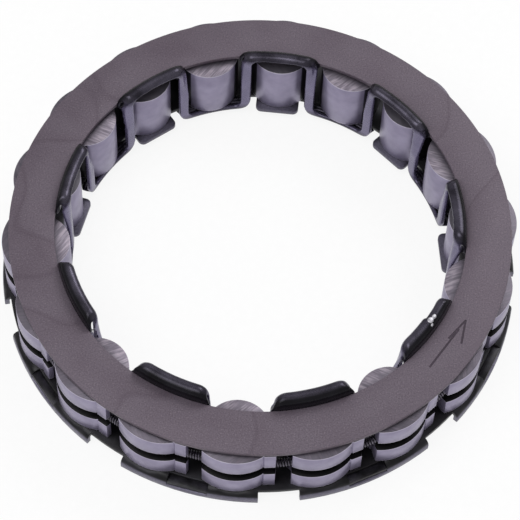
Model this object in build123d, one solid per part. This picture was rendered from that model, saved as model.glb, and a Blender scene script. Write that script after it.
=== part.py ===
from build123d import *
import math
import os

# Caged sprag clutch: a ring of rocking sprags that locks a shaft to a housing one way and frees it the other.
# The clutch's axis is +Z, and the origin is the centre of the lower edge of its drag rim. Millimetres.
# Station 0 is on +Y and the others follow counter-clockwise. The serpentine band closes over the top ring
# at the even stations and under the flange ring at the odd ones.

# driving dimensions
SPRAG_COUNT = 18
PITCH = 360 / SPRAG_COUNT
SHEET = 0.6

# levels, from the lower edge of the drag rim up
FLANGE_BOTTOM = 1.2
FLANGE_TOP = FLANGE_BOTTOM + SHEET
SPRAG_BOTTOM = 1.9
SPRAG_LENGTH = 7.6
SPRAG_MIDDLE = SPRAG_BOTTOM + SPRAG_LENGTH / 2
RING_BOTTOM = 9.95
RING_TOP = RING_BOTTOM + SHEET

# side rings
RING_BORE_R = 24.65
RING_OUTER_R = 30.1
RIM_R = 31.4
RIM_BEND_R = 0.9
NOTCH_R = 30.6
NOTCH_ANGLE = 9.0
SLOT_R = 30.2
SLOT_FLOOR = 0.65
SLOT_ANGLE = 9.0
TAB_R = 22.35
TAB_WIDTH = 5.4
TAB_CORNER_R = 0.7

# serpentine band
BAND_R = 22.85
CURL_R = 0.9
TOP_CURL_RISE = 0.75
BOTTOM_CREST = 0.75
WINDOW_HALF_WIDTH = 3.39
WINDOW_TOP_RISE = 0.95
WINDOW_SILL = 1.85
WINDOW_CORNER_R = 0.8
LOOP_CORNER_R = 1.6

# sprags and their garter spring
INNER_CAM_R = 3.8
INNER_CAM_CENTRE = 26.6
GROOVE_WIDTH = 1.75
GROOVE_CREST_R = 28.25
GROOVE_FALL = 13.0
SPRING_R = 28.9
COIL_R = 0.55

CUTTER_REACH = 5.0
CUTTER_CLEARANCE = 0.05
CURL_CENTRE_R = BAND_R + CURL_R
TOP_CURL_Z = RING_TOP + TOP_CURL_RISE
BOTTOM_CURL_Z = BOTTOM_CREST + CURL_R
EVEN_STATIONS = range(0, SPRAG_COUNT, 2)
ODD_STATIONS = range(1, SPRAG_COUNT, 2)


def at_station(shape, station):
    """The shape drawn on +Y, turned to a station, which may be a fraction."""
    return Rot(0, 0, station * PITCH) * shape


def arc_points(centre, radius, start, end, steps):
    """Points of an arc between two angles, so that a small bend is turned as a few flats."""
    angles = [math.radians(start + (end - start) * step / steps) for step in range(steps + 1)]
    return [(centre[0] + radius * math.cos(a), centre[1] + radius * math.sin(a)) for a in angles]


def turned(points):
    """Full ring turned from a closed outline of (radius, level) points."""
    return revolve(Plane.XZ * make_face(Polyline(*points, close=True)), axis=Axis.Z)


def sector(inner_r, outer_r, low, high, angle):
    """Block between two radii and two levels, centred on +Y and angle degrees wide."""
    section = Plane.YZ * Pos((inner_r + outer_r) / 2, (low + high) / 2)
    block = section * Rectangle(outer_r - inner_r, high - low)
    return Rot(0, 0, -angle / 2) * revolve(block, axis=Axis.Z, revolution_arc=angle)


def top_ring():
    """Plain side ring above the sprags."""
    return Pos(0, 0, RING_BOTTOM) * extrude(Circle(RING_OUTER_R) - Circle(RING_BORE_R), SHEET)


def flange_tab():
    """Tongue of the flange ring that reaches in under an even station."""
    length = RING_BORE_R + SHEET - TAB_R
    blank = Pos(0, TAB_R + length / 2) * Rectangle(TAB_WIDTH, length)
    blank = fillet(blank.vertices().group_by(Axis.Y)[0], TAB_CORNER_R)
    return Pos(0, 0, FLANGE_BOTTOM) * extrude(blank, SHEET)


def flange_ring():
    """Lower side ring: a flat web bent down into a drag rim that is notched and slotted into sprung pads."""
    bend_centre = (RIM_R - RIM_BEND_R, FLANGE_TOP - RIM_BEND_R)
    outer_bend = arc_points(bend_centre, RIM_BEND_R, 90, 0, 3)
    inner_bend = arc_points(bend_centre, RIM_BEND_R - SHEET, 0, 90, 2)
    rim_edge = [(RIM_R, 0), (RIM_R - SHEET, 0)]
    bore_edge = [(RING_BORE_R, FLANGE_BOTTOM), (RING_BORE_R, FLANGE_TOP)]
    ring = turned(outer_bend + rim_edge + inner_bend + bore_edge)
    notch = sector(NOTCH_R, RIM_R + 1, -1, FLANGE_TOP + 1, NOTCH_ANGLE)
    slot = sector(SLOT_R, RIM_R + 1, SLOT_FLOOR, FLANGE_TOP + 1, SLOT_ANGLE)
    tab = flange_tab()
    for station in EVEN_STATIONS:
        ring = ring + at_station(tab, station)
        ring = ring - at_station(notch, station - 0.5) - at_station(slot, station + 0.5)
    return ring


def window_cutter(closed_end, crest, up):
    """Cutter of one window on +Y, open past the crest of the band's curl; up is +1 or -1.

    It is closed with rounded corners, and beside its open end it rounds the loops on both sides.
    """
    mouth = crest + up * CUTTER_CLEARANCE
    corner_centre = (WINDOW_HALF_WIDTH - WINDOW_CORNER_R, closed_end + up * WINDOW_CORNER_R)
    loop_centre = (WINDOW_HALF_WIDTH + LOOP_CORNER_R, mouth - up * LOOP_CORNER_R)
    right_side = arc_points(corner_centre, WINDOW_CORNER_R, up * 270, up * 360, 3)
    right_side += arc_points(loop_centre, LOOP_CORNER_R, up * 180, up * 90, 4)
    right_side.append((loop_centre[0], mouth + up))
    left_side = [(-x, z) for x, z in reversed(right_side)]
    face = make_face(Polyline(*right_side, *left_side, close=True))
    near_side = Plane.XZ.offset(-(BAND_R - CUTTER_REACH / 4))
    return extrude(near_side * face, -CUTTER_REACH)


def serpentine_band():
    """Thin strip that winds up and down between the sprags, with each of its loops curled over a side ring."""
    lip_r = CURL_CENTRE_R + CURL_R
    hollow_r = CURL_R - SHEET
    top_centre = (CURL_CENTRE_R, TOP_CURL_Z)
    bottom_centre = (CURL_CENTRE_R, BOTTOM_CURL_Z)
    top_lip = [(lip_r, RING_BOTTOM), (lip_r - SHEET, RING_BOTTOM)]
    bottom_lip = [(lip_r - SHEET, FLANGE_TOP), (lip_r, FLANGE_TOP)]
    band = turned(
        arc_points(top_centre, CURL_R, 180, 0, 8)
        + top_lip
        + arc_points(top_centre, hollow_r, 0, 180, 4)
        + arc_points(bottom_centre, hollow_r, 180, 360, 4)
        + bottom_lip
        + arc_points(bottom_centre, CURL_R, 360, 180, 8)
    )
    top_crest = TOP_CURL_Z + CURL_R
    open_up = window_cutter(WINDOW_SILL, top_crest, 1)
    kept_lip = Pos(0, 0, RING_BOTTOM - CUTTER_CLEARANCE) * extrude(
        Circle(BAND_R + CUTTER_REACH) - Circle(CURL_CENTRE_R), CUTTER_REACH
    )
    open_down = window_cutter(RING_TOP + WINDOW_TOP_RISE, BOTTOM_CREST, -1) - kept_lip
    for station in ODD_STATIONS:
        band = band - at_station(open_up, station)
    for station in EVEN_STATIONS:
        band = band - at_station(open_down, station)
    return band


def sprag_profile():
    """End view of the sprag on +Y: inner cam, toe on the clockwise side, outer cam and nicked heel."""
    cam_foot = (3.67, 27.58)
    toe_top = (3.78, 29.75)
    heel_top = (-3.2, 29.8)
    back_foot = (-3.67, 27.58)
    with BuildLine() as outline:
        ThreePointArc(back_foot, (0, INNER_CAM_CENTRE - INNER_CAM_R), cam_foot)
        Polyline(cam_foot, (3.3, 28.3), (3.7, 29.3), toe_top)
        ThreePointArc(toe_top, (0.15, 30.95), heel_top)
        Polyline(
            heel_top,
            (-3.32, 29.62),
            (-3.45, 29.75),
            (-4.75, 29.55),
            (-4.75, 28.9),
            (-3.35, 28.3),
            back_foot,
        )
    return make_face(outline.line)


def sprag():
    """Sprag on +Y, with a spring groove whose floor falls away on both sides so that the sprag can rock."""
    body = extrude(sprag_profile(), SPRAG_LENGTH / 2, both=True)
    reach = 7.0
    fall = reach * math.tan(math.radians(GROOVE_FALL))
    floor = Polyline(
        (-reach, GROOVE_CREST_R - fall),
        (0, GROOVE_CREST_R),
        (reach, GROOVE_CREST_R - fall),
        (reach, RIM_R + 1),
        (-reach, RIM_R + 1),
        close=True,
    )
    groove = extrude(make_face(floor), GROOVE_WIDTH / 2, both=True)
    return Pos(0, 0, SPRAG_MIDDLE) * (body - groove)


def garter_spring():
    """Outer shape of the coiled garter spring that lies in the sprags' grooves."""
    return turned(arc_points((SPRING_R, SPRAG_MIDDLE), COIL_R, 0, 360, 10)[:-1])


pieces = {
    "top_ring": top_ring(),
    "flange_ring": flange_ring(),
    "serpentine_band": serpentine_band(),
    "garter_spring": garter_spring(),
}
one_sprag = sprag()
for station in range(SPRAG_COUNT):
    pieces[f"sprag_{station + 1:02d}"] = at_station(one_sprag, station)

os.makedirs("parts", exist_ok=True)
for name, shape in pieces.items():
    export_step(shape, f"parts/{name}.step")
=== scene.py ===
import math
import bpy
from mathutils import Matrix, Vector


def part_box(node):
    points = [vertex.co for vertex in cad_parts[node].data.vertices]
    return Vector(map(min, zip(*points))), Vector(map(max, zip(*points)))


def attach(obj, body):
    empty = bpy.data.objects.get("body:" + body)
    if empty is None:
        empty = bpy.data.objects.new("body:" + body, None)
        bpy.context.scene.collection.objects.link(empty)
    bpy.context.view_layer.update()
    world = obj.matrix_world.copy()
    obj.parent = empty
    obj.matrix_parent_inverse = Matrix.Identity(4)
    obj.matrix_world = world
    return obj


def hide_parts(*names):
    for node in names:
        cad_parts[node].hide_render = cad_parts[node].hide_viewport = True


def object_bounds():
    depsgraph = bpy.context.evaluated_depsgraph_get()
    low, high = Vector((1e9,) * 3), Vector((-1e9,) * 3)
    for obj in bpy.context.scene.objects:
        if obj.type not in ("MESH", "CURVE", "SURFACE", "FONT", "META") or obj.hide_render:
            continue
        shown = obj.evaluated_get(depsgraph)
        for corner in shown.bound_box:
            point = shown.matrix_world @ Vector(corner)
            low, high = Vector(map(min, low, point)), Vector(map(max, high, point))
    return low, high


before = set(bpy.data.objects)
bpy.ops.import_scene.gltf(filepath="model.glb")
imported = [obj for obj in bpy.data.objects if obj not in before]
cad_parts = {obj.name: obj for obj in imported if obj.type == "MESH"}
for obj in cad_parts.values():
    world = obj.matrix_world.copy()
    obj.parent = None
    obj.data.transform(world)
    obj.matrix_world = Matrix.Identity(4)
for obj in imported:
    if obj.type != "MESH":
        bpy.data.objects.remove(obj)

# Caged sprag clutch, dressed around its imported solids. The clutch's axis is +Z. Station 0 is on +Y and the
# others follow counter-clockwise, one to each sprag.

CAD_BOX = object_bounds()
MM = 0.001
CAGE = "cage"

# stations
STATIONS = 18
PITCH = math.radians(360 / STATIONS)
FIRST_STATION = math.radians(90)
EVEN_STATIONS = range(0, STATIONS, 2)

# places taken from the solids; their boxes don't give the rings' bore or the spring's radius
RING_LOW, RING_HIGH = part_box("top_ring")
RING_TOP = RING_HIGH[2]
RING_OUTER_R = RING_HIGH[0]
RING_BORE_R = 24.65 * MM
SPRAG_LOW, SPRAG_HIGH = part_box("sprag_01")
SPRAG_MIDDLE = (SPRAG_LOW[2] + SPRAG_HIGH[2]) / 2
SPRING_LOW, SPRING_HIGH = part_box("garter_spring")
SPRING_R = 28.9 * MM
BAND_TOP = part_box("serpentine_band")[1][2]

# sides of the circles that the top ring is turned from
RING_SIDES = 256

# serpentine band: its mesh, thinned to stay under 200,000 triangles
BAND_VOXEL = 0.12 * MM
BAND_SMOOTHING = 12
BAND_THINNING = 0.58

# serpentine band: its curls, and what is left of their height and reach where a loop ends
BAND_WALL_R = 23.45 * MM
CURL_R = 0.9 * MM
CURL_CENTRE_R = 23.75 * MM
WINDOW_HALF_WIDTH = 3.39 * MM
LOOP_ROUND = 1.5 * MM
LIP_SETBACK = 0.3 * MM
LIP_PUSH = 0.85 * MM
UPPER_HINGE = 9.8 * MM
LOWER_HINGE = 3.4 * MM
LEAN_START = 6.5 * MM
UPPER_END_HEIGHT = 0.5
LOWER_END_HEIGHT = 0.4
LOWER_END_REACH = 0.1

# serpentine band: its weld, past which the strip lies a step lower; the offset is in pitches
WELD_STATION = 12
WELD_OFFSET = 0.075
WELD_STEP = 0.22 * MM
WELD_BEND = 0.96
WELD_SINK = 0.09 * MM
WELD_THICKNESS = 0.2 * MM
# each weld spot's size out from the axis and round it, its angle from +X and its radius
WELD_SPOTS = (
    (0.7 * MM, 0.9 * MM, math.radians(-28.5), 23.85 * MM),
    (0.5 * MM, 0.7 * MM, math.radians(-26.9), 23.95 * MM),
    (0.35 * MM, 0.45 * MM, math.radians(-29.3), 24.3 * MM),
)

# dark blocks in the slots of the drag rim, painted near black as the shade seen through them
SHADE_BLOCK_INNER_R = 30.0 * MM
SHADE_BLOCK_OUTER_R = 31.25 * MM
SHADE_BLOCK_INSET = 0.05 * MM
SHADE_BLOCK_LENGTH = 4.9 * MM
SHADE_BLOCK_LOW = 0.7 * MM
SHADE_BLOCK_HIGH = 1.4 * MM

# direction arrow, engraved in the top ring
ARROW_TAIL = Vector((21.38, -16.63)) * MM
SHAFT_END = Vector((24.4, -11.4)) * MM
ARROW_TIP = Vector((25.14, -10.11)) * MM
LEFT_BARB = Vector((23.34, -12.64)) * MM
RIGHT_BARB = Vector((24.83, -13.14)) * MM
ARROW_STROKES = ((ARROW_TAIL, SHAFT_END), (LEFT_BARB, ARROW_TIP), (RIGHT_BARB, ARROW_TIP))
STROKE_WIDTH = 0.24 * MM
STROKE_DEPTH = 0.06 * MM

# garter spring
WIRE_R = 0.13 * MM
COIL_TURNS = 560
WIRE_SIDES = 6
STEPS_PER_TURN = 10

# broken edges
RING_EDGE = 0.1 * MM
FLANGE_EDGE = 0.06 * MM
SHADE_BLOCK_EDGE = 0.12 * MM
SPRAG_EDGE = 0.1 * MM
SHARP = math.radians(40)


# ---- nodes ----
def srgb(code):
    """Linear colour of an sRGB hex value."""
    values = [int(code[i : i + 2], 16) / 255 for i in (1, 3, 5)]
    linear = [v / 12.92 if v <= 0.04045 else ((v + 0.055) / 1.055) ** 2.4 for v in values]
    return (*linear, 1.0)


def per_mm(size_mm):
    """Scale of a pattern in Object coordinates whose features are size_mm across."""
    return 1 / (size_mm * MM)


def socket(sockets, key):
    """A node's socket by its number, or the first one in use that has the name."""
    if isinstance(key, int):
        return sockets[key]
    return next(item for item in sockets if item.enabled and item.name == key)


def add(material, kind, settings=None, links=None, out=None):
    """Adds a shader node with its settings and links, and returns its named output, or the first in use.

    A setting is a property of the node, an input's value, or the (position, hex) stops of a colour ramp.
    """
    node = material.node_tree.nodes.new("ShaderNode" + kind)
    for key, value in (settings or {}).items():
        if key == "stops":
            elements = node.color_ramp.elements
            while len(elements) < len(value):
                elements.new(1.0)
            for element, (position, code) in zip(elements, value):
                element.position = position
                element.color = srgb(code)
        elif isinstance(key, str) and hasattr(node, key):
            setattr(node, key, value)
        else:
            socket(node.inputs, key).default_value = value
    for key, source in (links or {}).items():
        material.node_tree.links.new(source, socket(node.inputs, key))
    if out:
        return socket(node.outputs, out)
    return next(item for item in node.outputs if item.enabled)


BLEND = {"data_type": "RGBA"}
MULTIPLY = {"data_type": "RGBA", "blend_type": "MULTIPLY", "Factor": 1.0}


def new_material(name, metallic=0.0):
    """Empty material with a Principled shader, and the piece's Object coordinates in it."""
    material = bpy.data.materials.new(name)
    material.use_nodes = True
    material.node_tree.nodes["Principled BSDF"].inputs["Metallic"].default_value = metallic
    return material, add(material, "TexCoord", out="Object")


def distance_from_axis(material, place):
    """Distance of a point from the clutch's axis."""
    flat = add(material, "VectorMath", {"operation": "MULTIPLY", 1: (1, 1, 0)}, {0: place})
    return add(material, "VectorMath", {"operation": "LENGTH"}, {0: flat})


def mask(material, *steps, strength=1.0):
    """Product of a strength and soft steps, each a value with the places where it is 0 and where it is 1."""
    whole = None
    for value, start, end in steps:
        full = strength if whole is None else 1.0
        settings = {"From Min": start, "From Max": end, "To Min": 0.0, "To Max": full}
        step = add(material, "MapRange", settings, {"Value": value})
        if whole is not None:
            step = add(material, "Math", {"operation": "MULTIPLY"}, {0: whole, 1: step})
        whole = step
    return whole


def finish(material, colour, pattern, roughness, relief=None, relief_mm=0.0):
    """Links a shader's colour, its roughness between two values over a pattern, and a shallow relief."""
    shader = material.node_tree.nodes["Principled BSDF"]
    low, high = roughness
    settings = {"From Min": 0.3, "From Max": 0.7, "To Min": low, "To Max": high}
    ends = {"Base Color": colour, "Roughness": add(material, "MapRange", settings, {"Value": pattern})}
    if relief:
        settings = {"Strength": 0.6, "Distance": relief_mm * MM}
        ends["Normal"] = add(material, "Bump", settings, {"Height": relief})
    for name, source in ends.items():
        material.node_tree.links.new(source, shader.inputs[name])


# ---- materials ----
def phosphated_sheet():
    """Stamped steel sheet, zinc-phosphated: a matt plum-grey with fine bright crystals and faint oily rubs.

    The crystals are drawn about ten times as coarse as real ones, which would be too fine to see.
    """
    material, place = new_material("phosphated_steel_sheet", 0.25)
    crystals = add(material, "TexNoise", {"Scale": per_mm(0.17), "Detail": 3.0}, {"Vector": place})
    clouds = add(material, "TexNoise", {"Scale": per_mm(5.0), "Detail": 2.0}, {"Vector": place})
    folds = add(material, "TexNoise", {"Scale": per_mm(17.0), "Detail": 1.0}, {"Vector": place})
    grey = [(0.3, "#594F5A"), (0.5, "#665C67"), (0.62, "#6B616C"), (0.72, "#7E757D")]
    sheet = add(material, "ValToRGB", {"stops": grey}, {"Fac": crystals})
    tone = add(material, "ValToRGB", {"stops": [(0.3, "#EFEBEE"), (0.7, "#FFFFFF")]}, {"Fac": clouds})
    oil_line = [(0.485, "#FFFFFF"), (0.5, "#E8E4E7"), (0.51, "#F8F6F7"), (0.56, "#FFFFFF")]
    rubs = add(material, "ValToRGB", {"stops": oil_line}, {"Fac": folds})
    wear = add(material, "Mix", MULTIPLY, {"A": tone, "B": rubs})
    colour = add(material, "Mix", MULTIPLY, {"A": sheet, "B": wear})
    finish(material, colour, clouds, (0.5, 0.62), crystals, 0.008)
    return material


def engraved_line():
    """Cut bottom of an engraved line, painted darker than the sheet around it as painted shade in the cut."""
    material, place = new_material("engraved_line_painted_shade")
    grains = add(material, "TexNoise", {"Scale": per_mm(0.2), "Detail": 3.0}, {"Vector": place})
    colour = add(material, "ValToRGB", {"stops": [(0.35, "#2E2430"), (0.65, "#423543")]}, {"Fac": grains})
    finish(material, colour, grains, (0.6, 0.75))
    return material


def blackened_sheet():
    """Spring steel sheet, black-oxidised and oiled: black on the web, darkened further by painted shade; grey
    on the rim and the tabs, partly rubbed wear and partly painted light.
    """
    material, place = new_material("black_oxide_spring_sheet", 0.5)
    patches = add(material, "TexNoise", {"Scale": per_mm(3.5), "Detail": 3.0}, {"Vector": place})
    fine = add(material, "TexNoise", {"Scale": per_mm(0.25), "Detail": 3.0}, {"Vector": place})
    height = add(material, "SeparateXYZ", links={"Vector": place}, out="Z")
    # the web's black is partly painted shade among the sprags; the grey of the rim and the tabs is partly
    # rubbed wear and partly painted light
    web = add(material, "ValToRGB", {"stops": [(0.35, "#121114"), (0.65, "#28272C")]}, {"Fac": patches})
    rubbed_and_lit_grey = add(material, "ValToRGB", {"stops": [(0.35, "#5C5868"), (0.65, "#6C687A")]}, {"Fac": fine})
    rim = mask(material, (height, 1.3 * MM, 1.0 * MM))
    tab = mask(material, (distance_from_axis(material, place), 24.4 * MM, 23.0 * MM), strength=0.8)
    worn_and_lit = add(material, "Math", {"operation": "MAXIMUM"}, {0: rim, 1: tab})
    colour = add(material, "Mix", BLEND, {"Factor": worn_and_lit, "A": web, "B": rubbed_and_lit_grey})
    finish(material, colour, patches, (0.32, 0.46), fine, 0.006)
    return material


def tumbled_strip():
    """Cold-rolled strip, blued and tumbled: lilac-grey bars, glossy curls painted darker as painted shade,
    and near-black oil and painted shade beside the rings.

    The tumbling marks are drawn coarser than real ones, so that they show.
    """
    material, place = new_material("blued_tumbled_strip", 0.75)
    clouds = add(material, "TexNoise", {"Scale": per_mm(2.5), "Detail": 3.0}, {"Vector": place})
    marks = add(material, "TexNoise", {"Scale": per_mm(0.18), "Detail": 2.0}, {"Vector": place})
    height = add(material, "SeparateXYZ", links={"Vector": place}, out="Z")
    # the curls are the same strip as the bars, painted darker as painted shade
    curl_shade = add(material, "ValToRGB", {"stops": [(0.3, "#2B2832"), (0.7, "#55515F")]}, {"Fac": clouds})
    bar = add(material, "ValToRGB", {"stops": [(0.3, "#67627B"), (0.7, "#7A748E")]}, {"Fac": clouds})
    # near black beside the rings: oil and painted shade
    oil_and_shade = add(material, "ValToRGB", {"stops": [(0.3, "#0B0A0D"), (0.7, "#19181D")]}, {"Fac": clouds})
    between = mask(material, (height, 1.5 * MM, 2.5 * MM), (height, 11.7 * MM, 10.7 * MM))
    shade_beside_rings = mask(material, (distance_from_axis(material, place), 23.7 * MM, 24.2 * MM), strength=0.92)
    steel = add(material, "Mix", BLEND, {"Factor": between, "A": curl_shade, "B": bar})
    colour = add(material, "Mix", BLEND, {"Factor": shade_beside_rings, "A": steel, "B": oil_and_shade})
    finish(material, colour, marks, (0.24, 0.34), marks, 0.003)
    return material


def ground_sprag_steel(station):
    """Through-hardened bearing steel: satin lilac cams with painted highlights on their edges, ground ends,
    and a groove of oil and painted shade.

    The cam is bright only in its middle; its two sides are painted dark, as painted shade. The ends carry
    painted shade beside the top ring, darkest under the band's upper loops. Their grinding marks run another
    way on every sprag, and are drawn about ten times as coarse as real ones, so that they show.
    """
    material, place = new_material(f"ground_bearing_steel_{station + 1:02d}", 0.55)
    turn = station * PITCH
    radius = distance_from_axis(material, place)
    height = add(material, "SeparateXYZ", links={"Vector": place}, out="Z")
    offset = add(material, "Math", {"operation": "SUBTRACT", 1: SPRAG_MIDDLE}, {0: height})
    from_middle = add(material, "Math", {"operation": "ABSOLUTE"}, {0: offset})
    turned_back = add(material, "Mapping", {"Rotation": (0, 0, -turn)}, {"Vector": place})
    sideways = add(material, "SeparateXYZ", links={"Vector": turned_back}, out="X")
    across = add(material, "Math", {"operation": "ABSOLUTE"}, {0: sideways})

    clouds = add(material, "TexNoise", {"Scale": per_mm(1.6), "Detail": 2.0}, {"Vector": place})
    flank = add(material, "ValToRGB", {"stops": [(0.3, "#8C859E"), (0.7, "#9C95AE")]}, {"Fac": clouds})
    # the cam's two sides, painted near black as painted shade
    cam_side_shade = add(material, "ValToRGB", {"stops": [(0.3, "#1B191F"), (0.7, "#2B2831")]}, {"Fac": clouds})
    side = mask(material, (across, 2.78 * MM, 2.86 * MM), (radius, 28.2 * MM, 27.6 * MM))
    colour = add(material, "Mix", BLEND, {"Factor": side, "A": flank, "B": cam_side_shade})

    grinding_turn = turn + 0.9 * math.sin(2.3 * (station + 1))
    drawn_out = {"vector_type": "TEXTURE", "Rotation": (0, 0, grinding_turn), "Scale": (1, 9, 1)}
    stretched = add(material, "Mapping", drawn_out, {"Vector": place})
    grinding = add(material, "TexNoise", {"Scale": per_mm(0.2), "Detail": 4.0}, {"Vector": stretched})
    marks = [(0.34, "#4F4651"), (0.5, "#766C78"), (0.66, "#A0959F")]
    ground = add(material, "ValToRGB", {"stops": marks}, {"Fac": grinding})
    # painted shade on the ends beside the top ring, deeper under the upper loops on even stations
    near_ring = mask(material, (radius, 23.7 * MM, 24.7 * MM))
    under_loop_shade = "#4A464C" if station in EVEN_STATIONS else "#FFFFFF"
    shadow = add(material, "ValToRGB", {"stops": [(0.0, under_loop_shade), (1.0, "#827983")]}, {"Fac": near_ring})
    end = add(material, "Mix", MULTIPLY, {"A": ground, "B": shadow})
    is_end = mask(material, (from_middle, 3.77 * MM, 3.795 * MM))
    colour = add(material, "Mix", BLEND, {"Factor": is_end, "A": colour, "B": end})

    outboard = (radius, 26.9 * MM, 27.0 * MM)
    # painted highlights along the groove's edges and the ends' edges
    groove_edge = mask(
        material, (from_middle, 0.89 * MM, 0.93 * MM), (from_middle, 1.01 * MM, 0.97 * MM), outboard
    )
    end_edge = mask(material, (from_middle, 3.685 * MM, 3.715 * MM), (from_middle, 3.805 * MM, 3.775 * MM))
    edge = add(material, "Math", {"operation": "MAXIMUM"}, {0: groove_edge, 1: end_edge})
    edge_highlight = add(material, "ValToRGB", {"stops": [(0.3, "#BDB7C9"), (0.7, "#D3CEDD")]}, {"Fac": clouds})
    colour = add(material, "Mix", BLEND, {"Factor": edge, "A": colour, "B": edge_highlight})

    # the groove painted near black: oil and painted shade
    groove = mask(material, (from_middle, 0.91 * MM, 0.88 * MM), outboard)
    oil_and_shade = add(material, "ValToRGB", {"stops": [(0.3, "#060507"), (0.7, "#0D0B10")]}, {"Fac": clouds})
    colour = add(material, "Mix", BLEND, {"Factor": groove, "A": colour, "B": oil_and_shade})
    finish(material, colour, grinding, (0.36, 0.44), grinding, 0.002)
    return material


def slot_shade_black():
    """Near-black painted shade on the blocks seen only through the slots of the drag rim."""
    material, place = new_material("slot_shade_black", 0.5)
    patches = add(material, "TexNoise", {"Scale": per_mm(1.2), "Detail": 3.0}, {"Vector": place})
    colour = add(material, "ValToRGB", {"stops": [(0.35, "#0D0C0F"), (0.65, "#2C2A31")]}, {"Fac": patches})
    finish(material, colour, patches, (0.3, 0.45))
    return material


def music_wire():
    """Drawn music wire, phosphated and oiled: dark grey with a bright line along each turn."""
    material, place = new_material("drawn_music_wire", 0.8)
    clouds = add(material, "TexNoise", {"Scale": per_mm(0.8), "Detail": 2.0}, {"Vector": place})
    colour = add(material, "ValToRGB", {"stops": [(0.3, "#4A474F"), (0.7, "#77727E")]}, {"Fac": clouds})
    finish(material, colour, clouds, (0.25, 0.35))
    return material


def bare_weld():
    """Bare steel where the strip's ends are spot-welded, silvery and slightly rough."""
    material, place = new_material("bare_spot_weld", 0.8)
    beads = add(material, "TexNoise", {"Scale": per_mm(0.25), "Detail": 3.0}, {"Vector": place})
    colour = add(material, "ValToRGB", {"stops": [(0.3, "#A7A5AD"), (0.7, "#D8D6DC")]}, {"Fac": beads})
    finish(material, colour, beads, (0.3, 0.5), beads, 0.02)
    return material


def white_paper():
    """Studio paper that shows white to the camera and in reflections, and still takes a shadow."""
    material, place = new_material("white_paper")
    shader = material.node_tree.nodes["Principled BSDF"]
    shader.inputs["Roughness"].default_value = 0.9
    grain = add(material, "TexNoise", {"Scale": per_mm(1.0), "Detail": 3.0}, {"Vector": place})
    paper = add(material, "ValToRGB", {"stops": [(0.3, "#F4F4F4"), (0.7, "#FFFFFF")]}, {"Fac": grain})
    glow = add(material, "Emission", {"Strength": 1.0, "Color": (1, 1, 1, 1)})
    seen = add(material, "LightPath", out="Is Camera Ray")
    for name in ("Is Glossy Ray", "Is Transmission Ray"):
        ray = add(material, "LightPath", out=name)
        seen = add(material, "Math", {"operation": "MAXIMUM"}, {0: seen, 1: ray})
    share = add(material, "Math", {"operation": "MULTIPLY", 1: 0.88}, {0: seen})
    blend = add(material, "MixShader", links={0: share, 1: shader.outputs["BSDF"], 2: glow})
    output = material.node_tree.nodes["Material Output"]
    material.node_tree.links.new(paper, shader.inputs["Base Color"])
    material.node_tree.links.new(blend, output.inputs["Surface"])
    return material


SHEET = phosphated_sheet()
ENGRAVING = engraved_line()
FLANGE = blackened_sheet()
STRIP = tumbled_strip()
WIRE = music_wire()
WELD = bare_weld()
SLOT_SHADE_BLACK = slot_shade_black()


# ---- making pieces ----
def select_only(item):
    """Selects one object and nothing else."""
    bpy.ops.object.select_all(action="DESELECT")
    item.select_set(True)
    bpy.context.view_layer.objects.active = item


def settle(piece):
    """Puts a piece's place into its mesh, with the object at the origin."""
    select_only(piece)
    bpy.ops.object.transform_apply(location=True, rotation=True, scale=True)


def apply_modifier(piece, kind, **settings):
    """Adds a modifier to a piece and applies it."""
    select_only(piece)
    modifier = piece.modifiers.new(kind.title(), kind)
    for key, value in settings.items():
        setattr(modifier, key, value)
    bpy.ops.object.modifier_apply(modifier=modifier.name)


def cut(piece, cutter):
    """Cuts one piece with another, which is used up."""
    apply_modifier(piece, "BOOLEAN", operation="DIFFERENCE", object=cutter, solver="EXACT")
    bpy.data.objects.remove(cutter)


def break_edges(piece, width):
    """Rounds a piece's sharp edges."""
    apply_modifier(piece, "BEVEL", width=width, segments=2, limit_method="ANGLE", angle_limit=SHARP)


def smooth(piece, degrees=None):
    """Shades a piece smooth, all over or only across edges flatter than an angle."""
    select_only(piece)
    if degrees:
        bpy.ops.object.shade_smooth_by_angle(angle=math.radians(degrees))
    else:
        bpy.ops.object.shade_smooth()


def dress(piece, name, material, body):
    """Names a finished piece, gives it its material and makes it ride on a body."""
    piece.name = name
    if not piece.data.materials:
        piece.data.materials.append(material)
    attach(piece, body)


def merged_copy(node):
    """Copy of a solid's mesh, with its facets joined into one closed skin."""
    select_only(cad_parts[node])
    bpy.ops.object.duplicate()
    piece = bpy.context.view_layer.objects.active
    piece.parent = None
    piece.matrix_world = Matrix.Identity(4)
    bpy.ops.object.mode_set(mode="EDIT")
    bpy.ops.mesh.select_all(action="SELECT")
    bpy.ops.mesh.remove_doubles(threshold=0.002 * MM)
    bpy.ops.mesh.dissolve_limited(angle_limit=math.radians(0.5))
    bpy.ops.object.mode_set(mode="OBJECT")
    piece.data.materials.clear()
    return piece


# ---- top ring ----
def ring_disc(radius, depth):
    """Plain disc on the clutch's axis, centred on the top ring's middle."""
    middle = (0, 0, (RING_LOW[2] + RING_TOP) / 2)
    bpy.ops.mesh.primitive_cylinder_add(vertices=RING_SIDES, radius=radius, depth=depth, location=middle)
    disc = bpy.context.active_object
    settle(disc)
    return disc


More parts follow.
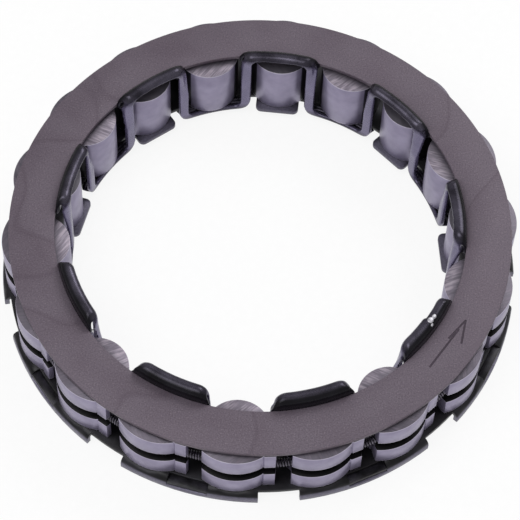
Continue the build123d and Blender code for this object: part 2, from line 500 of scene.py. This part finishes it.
def engraving_stroke(start, end):
    """Cutter of one engraved line, round-ended, with its floor a little below the ring's face."""
    run = end - start
    middle = (start + end) / 2
    bpy.ops.mesh.primitive_cube_add(
        size=1,
        location=(middle.x, middle.y, RING_TOP),
        rotation=(0, 0, math.atan2(run.y, run.x)),
        scale=(run.length + 0.8 * STROKE_WIDTH, STROKE_WIDTH, 2 * STROKE_DEPTH),
    )
    stroke = bpy.context.active_object
    settle(stroke)
    apply_modifier(stroke, "BEVEL", width=0.35 * STROKE_WIDTH, segments=3, affect="EDGES")
    stroke.data.materials.append(SHEET)
    stroke.data.materials.append(ENGRAVING)
    for face in stroke.data.polygons:
        face.material_index = 1
    return stroke


def engraved_top_ring():
    """Top ring with broken edges, and the arrow of the free direction engraved in it."""
    thickness = RING_TOP - RING_LOW[2]
    ring = ring_disc(RING_OUTER_R, thickness)
    cut(ring, ring_disc(RING_BORE_R, 3 * thickness))
    break_edges(ring, RING_EDGE)
    ring.data.materials.append(SHEET)
    ring.data.materials.append(ENGRAVING)
    for start, end in ARROW_STROKES:
        cut(ring, engraving_stroke(start, end))
    smooth(ring, degrees=30)
    dress(ring, "top_ring_engraved", SHEET, CAGE)
    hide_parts("top_ring")


# ---- garter spring ----
def coiled_garter_spring():
    """Garter spring: a close coil, bent round until its two ends meet."""
    coil_r = (SPRING_HIGH[2] - SPRING_LOW[2]) / 2 - WIRE_R
    length = 2 * math.pi * SPRING_R
    bpy.ops.mesh.primitive_circle_add(
        vertices=WIRE_SIDES, radius=WIRE_R, location=(-length / 2, 0, coil_r), rotation=(math.pi / 2, 0, 0)
    )
    spring = bpy.context.active_object
    settle(spring)
    apply_modifier(
        spring,
        "SCREW",
        axis="X",
        angle=math.tau,
        screw_offset=length / COIL_TURNS,
        iterations=COIL_TURNS,
        steps=STEPS_PER_TURN,
        render_steps=STEPS_PER_TURN,
    )
    apply_modifier(spring, "SIMPLE_DEFORM", deform_method="BEND", deform_axis="Z", angle=math.tau)
    bpy.ops.object.mode_set(mode="EDIT")
    bpy.ops.mesh.select_all(action="SELECT")
    bpy.ops.mesh.remove_doubles(threshold=0.01 * MM)
    bpy.ops.mesh.normals_make_consistent(inside=False)
    bpy.ops.object.mode_set(mode="OBJECT")
    corners = [Vector(corner) for corner in spring.bound_box]
    low = Vector(map(min, zip(*corners)))
    high = Vector(map(max, zip(*corners)))
    centre = (low + high) / 2
    spring.location = (-centre.x, -centre.y, SPRAG_MIDDLE - centre.z)
    settle(spring)
    smooth(spring)
    dress(spring, "garter_spring_coil", WIRE, CAGE)
    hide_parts("garter_spring")


# ---- flange ring ----
def finished_flange_ring():
    """Flange ring with broken edges."""
    flange = merged_copy("flange_ring")
    break_edges(flange, FLANGE_EDGE)
    smooth(flange, degrees=35)
    dress(flange, "flange_ring_finished", FLANGE, CAGE)
    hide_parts("flange_ring")


def shade_block_in_slot(station):
    """Dark block of painted shade, set a little below the slot that follows an even station."""
    angle = FIRST_STATION + (station + 0.5) * PITCH
    radius = (SHADE_BLOCK_INNER_R + SHADE_BLOCK_OUTER_R) / 2 - SHADE_BLOCK_INSET
    bpy.ops.mesh.primitive_cube_add(
        size=1,
        location=(radius * math.cos(angle), radius * math.sin(angle), (SHADE_BLOCK_LOW + SHADE_BLOCK_HIGH) / 2),
        rotation=(0, 0, angle),
        scale=(SHADE_BLOCK_OUTER_R - SHADE_BLOCK_INNER_R, SHADE_BLOCK_LENGTH, SHADE_BLOCK_HIGH - SHADE_BLOCK_LOW),
    )
    shade_block = bpy.context.active_object
    settle(shade_block)
    break_edges(shade_block, SHADE_BLOCK_EDGE)
    smooth(shade_block, degrees=35)
    dress(shade_block, f"shade_block_in_slot_{station // 2 + 1}", SLOT_SHADE_BLACK, CAGE)


# ---- serpentine band ----
def eased(run, length):
    """Height of a quarter circle, 0 to 1, at a run along it."""
    share = min(max(run / length, 0.0), 1.0)
    return math.sqrt(1 - (1 - share) ** 2)


def grown(least, bend):
    """Share of a curl's full size at a bend, from its least at the loop's end to 1."""
    return least + (1 - least) * bend


def round_loop_ends(band):
    """Rounds both ends of every loop: an upper curl runs out against the top ring, a lower one to its bar.

    The upper curls belong to the even stations and the lower ones to the odd stations. A vertex is moved by
    its distance from the side of the window that ends its loop. Past the weld the strip lies a little lower.
    """
    for vertex in band.data.vertices:
        x, y, z = vertex.co
        upper = z > SPRAG_MIDDLE
        radius = math.hypot(x, y)
        turn = (math.atan2(y, x) - FIRST_STATION) / PITCH
        loop = round(turn / 2) * 2 if upper else round((turn - 1) / 2) * 2 + 1
        past = turn - loop
        run = radius * math.sin(max(1 - abs(past), 0) * PITCH) - WINDOW_HALF_WIDTH
        drawn = radius
        if upper:
            bend = eased(run - LIP_SETBACK if past < 0 else run, LOOP_ROUND)
            push = LIP_PUSH * (1 - bend)
            if loop % STATIONS == WELD_STATION and past > WELD_OFFSET:
                push += WELD_STEP * bend
                bend *= WELD_BEND
            push *= min(max((z - LEAN_START) / (RING_TOP - LEAN_START), 0.0), 1.0)
            if radius < BAND_WALL_R:
                drawn = radius + push
            else:
                room = RING_BORE_R - BAND_WALL_R
                drawn = RING_BORE_R - (RING_BORE_R - radius) * (room - push) / room
            if z > UPPER_HINGE:
                z = UPPER_HINGE + (z - UPPER_HINGE) * grown(UPPER_END_HEIGHT, bend)
        elif z < LOWER_HINGE:
            bend = eased(run, LOOP_ROUND)
            z = LOWER_HINGE - (LOWER_HINGE - z) * grown(LOWER_END_HEIGHT, bend)
            if radius > BAND_WALL_R:
                drawn = BAND_WALL_R + (radius - BAND_WALL_R) * grown(LOWER_END_REACH, bend)
        vertex.co = (x * drawn / radius, y * drawn / radius, z)


def tumbled_band():
    """Serpentine band with the round bends and soft edges that forming and tumbling give it."""
    band = merged_copy("serpentine_band")
    apply_modifier(band, "REMESH", mode="VOXEL", voxel_size=BAND_VOXEL)
    round_loop_ends(band)
    apply_modifier(band, "REMESH", mode="VOXEL", voxel_size=BAND_VOXEL)
    apply_modifier(band, "SMOOTH", factor=0.5, iterations=BAND_SMOOTHING)
    apply_modifier(band, "DECIMATE", ratio=BAND_THINNING)
    smooth(band)
    dress(band, "serpentine_band_finished", STRIP, CAGE)
    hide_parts("serpentine_band")


def weld_spot(number, outward, round_axis, angle, radius):
    """Flat bead of a spot weld, lying on the curl of the loop where the band's two ends are joined."""
    slope = math.asin((radius - CURL_CENTRE_R) / CURL_R)
    height = BAND_TOP - CURL_R + CURL_R * math.cos(slope) - WELD_SINK
    bpy.ops.mesh.primitive_uv_sphere_add(segments=24, ring_count=12, radius=0.5, location=(0, 0, 0))
    spot = bpy.context.active_object
    spot.scale = (outward, round_axis, WELD_THICKNESS)
    settle(spot)
    spot.rotation_euler = (0, slope, angle)
    spot.location = (radius * math.cos(angle), radius * math.sin(angle), height)
    settle(spot)
    smooth(spot)
    dress(spot, f"weld_spot_{number}", WELD, CAGE)


# ---- sprags ----
def finished_sprag(station):
    """Sprag with broken edges and a finish of its own."""
    node = f"sprag_{station + 1:02d}"
    sprag = merged_copy(node)
    break_edges(sprag, SPRAG_EDGE)
    smooth(sprag, degrees=35)
    dress(sprag, node + "_finished", ground_sprag_steel(station), node)
    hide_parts(node)


engraved_top_ring()
coiled_garter_spring()
finished_flange_ring()
for station in EVEN_STATIONS:
    shade_block_in_slot(station)
tumbled_band()
for station in range(STATIONS):
    finished_sprag(station)
for index, spot in enumerate(WELD_SPOTS):
    weld_spot(index + 1, *spot)


# ---- stage ----
# each softbox's place, side and power
SOFTBOXES = {
    "key_softbox": ((-0.12, -0.10, 0.34), 0.25, 0.55),
    "back_softbox": ((0.16, 0.22, 0.28), 0.2, 0.45),
}
LIT_POINT = Vector((0, 0, 0.005))
WORLD_STRENGTH = 0.5


def studio():
    """White paper floor and world, with one large soft lamp above and one behind."""
    bpy.ops.mesh.primitive_plane_add(size=4, location=(0, 0, CAD_BOX[0][2]))
    floor = bpy.context.active_object
    floor.name = "floor"
    floor.data.materials.append(white_paper())

    world = bpy.data.worlds.new("studio_white")
    bpy.context.scene.world = world
    world.use_nodes = True
    background = world.node_tree.nodes["Background"]
    background.inputs["Color"].default_value = (1, 1, 1, 1)
    background.inputs["Strength"].default_value = WORLD_STRENGTH

    for name, (place, side, power) in SOFTBOXES.items():
        lamp = bpy.data.lights.new(name, "AREA")
        lamp.size = side
        lamp.energy = power
        holder = bpy.data.objects.new(name, lamp)
        bpy.context.collection.objects.link(holder)
        holder.location = place
        holder.rotation_euler = (LIT_POINT - Vector(place)).to_track_quat("-Z", "Y").to_euler()


def camera():
    """Long lens, looking down at the clutch at about sixty degrees."""
    elevation = math.radians(60.225)
    roll = math.radians(2.65)
    swing = math.radians(3.4)
    distance = 284.9 * MM
    target = Vector((0.10 * MM, -4.70 * MM, RING_TOP))
    back = Vector((0, -math.cos(elevation), math.sin(elevation)))
    right = Vector((1, 0, 0))
    up = right.cross(-back)
    across = math.cos(roll) * right + math.sin(roll) * up
    upward = -math.sin(roll) * right + math.cos(roll) * up
    rig = Matrix((across, upward, back)).transposed().to_4x4()
    rig.translation = target + back * distance
    data = bpy.data.cameras.new("product_camera")
    data.lens = 166.3
    data.sensor_width = 36
    holder = bpy.data.objects.new("product_camera", data)
    bpy.context.collection.objects.link(holder)
    holder.matrix_world = Matrix.Rotation(swing, 4, "Z") @ rig
    bpy.context.scene.camera = holder


studio()
camera()
bpy.context.scene.view_settings.view_transform = "Standard"
